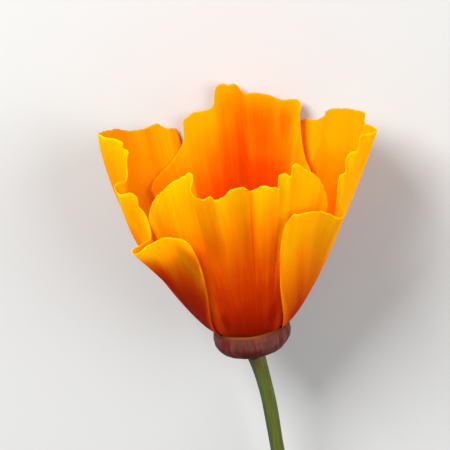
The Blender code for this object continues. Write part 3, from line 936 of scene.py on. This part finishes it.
# A band is in shares of the profile's length from the collar's top to its foot: where it starts,
# is whole, fades and ends, and how much of its colour is mixed in.
collarLook = {
    "broad": (2, 2.4, 3), "fine": (1.5, 22, 3), "streaks": (0.2, 11, 2),
    "flesh": [
        (0.3, (0.04, 0.006, 0.006)), (0.5, (0.068, 0.013, 0.011)), (0.7, (0.12, 0.032, 0.024)),
    ],
    "fineShare": 0.3,
    "brim": (0.12, 0.26, 0.3, 0.45, 0.4), "brimColour": (0.11, 0.036, 0.026),
    # painted light that makes one side paler
    "paintedLitSideSpan": (0.2, 1, 0, 0.7), "paleColour": (0.17, 0.055, 0.038),
    "streakBand": (0.13, 0.22, 0.4, 0.62, 0.75), "streakColour": (0.085, 0.001, 0.003),
    "streakWidth": (0.52, 0.7), "streakFray": 0.12,
    "under": (0.46, 0.56, 0.62, 0.8, 0.6), "underColour": (0.085, 0.008, 0.008),
    "lip": (0.19, 0.13), "lipColour": (0.21, 0.06, 0.006),
    "relief": (0.0002, 0.6), "roughness": (0.5, 0.65), "specular": 0.06,
    "subsurface": (0.05, 0.0005),  # weight and scale
}


# Dusty rose, paler in patches and on one side with painted light, with a few narrow dark red
# streaks from the middle outwards.
def collarMaterial():
    look = collarLook
    graph = Graph("collarSkin")
    ring = graph.parts("collarPlace")
    cosine, _, share = ring
    streaks, broad, fine = (
        ringNoise(graph, ring, look[name]) for name in ("streaks", "broad", "fine")
    )
    mottle = graph.plus(broad, -look["fineShare"] / 2)
    mottle = graph.math("MULTIPLY_ADD", fine, look["fineShare"], mottle)
    colour = graph.ramp(mottle, look["flesh"])
    frayed = graph.math("MULTIPLY_ADD", fine, look["streakFray"], streaks)
    narrow = graph.span(frayed, *look["streakWidth"])
    layers = {
        "brim": graph.band(share, look["brim"]),
        # painted light on one side
        "pale": graph.span(cosine, *look["paintedLitSideSpan"]),
        "streak": graph.times(narrow, graph.band(share, look["streakBand"])),
        "under": graph.band(share, look["under"]),
        "lip": graph.span(share, *look["lip"]),
    }
    for layer, amount in layers.items():
        colour = graph.mix(amount, colour, look[layer + "Colour"])
    height = graph.math("MULTIPLY_ADD", fine, look["fineShare"], streaks)
    weight, scale = look["subsurface"]
    return graph.finish(graph.principled(
        Base_Color=colour, Roughness=graph.varied(fine, look["roughness"]),
        Normal=graph.bump(height, look["relief"]), Subsurface_Weight=weight,
        Subsurface_Scale=scale, Specular_IOR_Level=look["specular"],
    ))


stalkLook = {
    "lines": (0.03, 7, 3), "patches": (0.2, 1.3, 3),
    "greens": [
        (0.3, (0.045, 0.06, 0.006)), (0.5, (0.07, 0.085, 0.008)), (0.7, (0.11, 0.12, 0.012)),
    ],
    "patchShare": 0.8,
    # painted shade along one side
    "paintedShadeSpan": (0.8, 1.4, 0, 0.9), "paintedShadeSideColour": (0.01, 0.045, 0.026),
    "warmTop": (4, 0, 0, 0.5), "warmColour": (0.16, 0.09, 0.03),
    "relief": (0.00012, 0.7), "roughness": (0.42, 0.55), "specular": 0.25,
}


# Olive green, with painted shade in dark bluish green along one side, warmer at the collar, with
# pale fine lines along it.
def stalkMaterial():
    look = stalkLook
    graph = Graph("stalkSkin")
    ring = graph.parts("stalkPlace")
    cosine, _, length = ring
    lines, patches = (ringNoise(graph, ring, look[name]) for name in ("lines", "patches"))
    colour = graph.ramp(lines, look["greens"])
    # Painted shade down one side, its edge broken by the patches.
    paintedShadeSide = graph.math("SUBTRACT", graph.times(patches, look["patchShare"]), cosine)
    paintedShadeSide = graph.span(paintedShadeSide, *look["paintedShadeSpan"])
    colour = graph.mix(paintedShadeSide, colour, look["paintedShadeSideColour"])
    colour = graph.mix(graph.span(length, *look["warmTop"]), colour, look["warmColour"])
    return graph.finish(graph.principled(
        Base_Color=colour, Roughness=graph.varied(patches, look["roughness"]),
        Normal=graph.bump(lines, look["relief"]), Specular_IOR_Level=look["specular"],
    ))


pollenLook = {
    "dark": (0.5, 0.14, 0.01), "light": (0.9, 0.42, 0.03), "grain": 2600, "roughness": 0.7,
}
ovaryLook = {
    "dark": (0.16, 0.2, 0.03), "light": (0.4, 0.42, 0.1), "grain": 900, "roughness": 0.5,
}
grainDetail = 3
grainRelief = (0.0001, 0.8)


# Two tones in grains that read the object's own place.
def grainyMaterial(name, look):
    graph = Graph(name)
    place = graph.nodes.new("ShaderNodeTexCoord").outputs["Object"]
    grains = graph.noise(place, look["grain"], grainDetail)
    return graph.finish(graph.principled(
        Base_Color=graph.mix(graph.span(grains, 0.35, 0.65), look["dark"], look["light"]),
        Roughness=look["roughness"], Normal=graph.bump(grains, grainRelief),
    ))


# The piece wears its material and stands in for its solid.
def wear(made, material, node):
    made.data.materials.append(material)
    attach(made, "root")
    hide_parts(node)


petals = {"front": frontPetal, "back": backPetal, "left": leftPetal, "right": rightPetal}
for side, petal in petals.items():
    skin = petalMaterial(side + "PetalSkin", petal)
    wear(petalShell(side + "Petal", petal), skin, "petal_" + side)
wear(makeCollar(), collarMaterial(), "receptacle")
wear(makeStalk(), stalkMaterial(), "stem")
print("collar and stalk done")
wear(makeStamens(), grainyMaterial("pollen", pollenLook), "stamens")
wear(makePistil(), grainyMaterial("ovarySkin", ovaryLook), "pistil")
print("stamens and pistil done")


# Room.

room = {
    "floorHalf": 3, "floorColour": (0.44, 0.44, 0.43), "floorRoughness": 0.8,
    "sky": (0.95, 0.97, 1, 1), "skyStrength": 0.42,
}


def makeFloor():
    half = room["floorHalf"]
    corners = [(-half, -half, 0), (half, -half, 0), (half, half, 0), (-half, half, 0)]
    mesh = bpy.data.meshes.new("floor")
    mesh.from_pydata(corners, [], [(0, 1, 2, 3)])
    made = addObject("floor", mesh)
    graph = Graph("floorPaint")
    paint = graph.principled(Base_Color=room["floorColour"], Roughness=room["floorRoughness"])
    made.data.materials.append(graph.finish(paint))


def makeSky():
    world = bpy.data.worlds.new("room")
    world.use_nodes = True
    background = world.node_tree.nodes["Background"]
    background.inputs["Color"].default_value = room["sky"]
    background.inputs["Strength"].default_value = room["skyStrength"]
    bpy.context.scene.world = world


# Camera: it looks at the flower's -y side, raised towards its tip, and rolls a little. Its place is
# right, up and back from the collar, in millimetres.

viewCamera = {
    "elevation": 22, "roll": 6, "place": (-4.25, 18.02, 450),
    "lens": 211.8, "frame": 36, "nearest": 0.01,
}


# Right, up and back of the camera, in the flower's frame.
def cameraAxes():
    raised = turnAbout("X", 90 - viewCamera["elevation"])
    return (raised @ turnAbout("Z", -viewCamera["roll"])).T


def makeCamera():
    camera = bpy.data.cameras.new("camera")
    camera.lens = viewCamera["lens"]
    camera.sensor_width = viewCamera["frame"]
    camera.clip_start = viewCamera["nearest"]
    matrix = Matrix(laid(cameraAxes()).T.tolist()).to_4x4()
    matrix.translation = placed(viewCamera["place"] @ cameraAxes())
    made = addObject("camera", camera)
    made.matrix_world = matrix
    bpy.context.scene.camera = made


# Lamps: place is right, up and back from the flower's middle as the camera sees it, in metres.

lampAim = (0, 0, 18)
lamps = [
    {"name": "key", "place": (-0.26, 0.2, 0.46), "size": 0.24, "power": 5.4},
    {"name": "fill", "place": (0.42, 0.02, 0.45), "size": 0.5, "power": 3},
]


def makeLamp(lamp):
    offset = laid(lamp["place"] @ cameraAxes())
    light = bpy.data.lights.new(lamp["name"], "AREA")
    light.size = lamp["size"]
    light.energy = lamp["power"]
    aim = Vector(offset).to_track_quat("Z", "Y").to_matrix().to_4x4()
    aim.translation = placed(np.array(lampAim)) + offset
    addObject(lamp["name"], light).matrix_world = aim


makeFloor()
makeSky()
makeCamera()
for lamp in lamps:
    makeLamp(lamp)
bpy.context.scene.view_settings.view_transform = "Standard"
print("floor, lights and camera done")
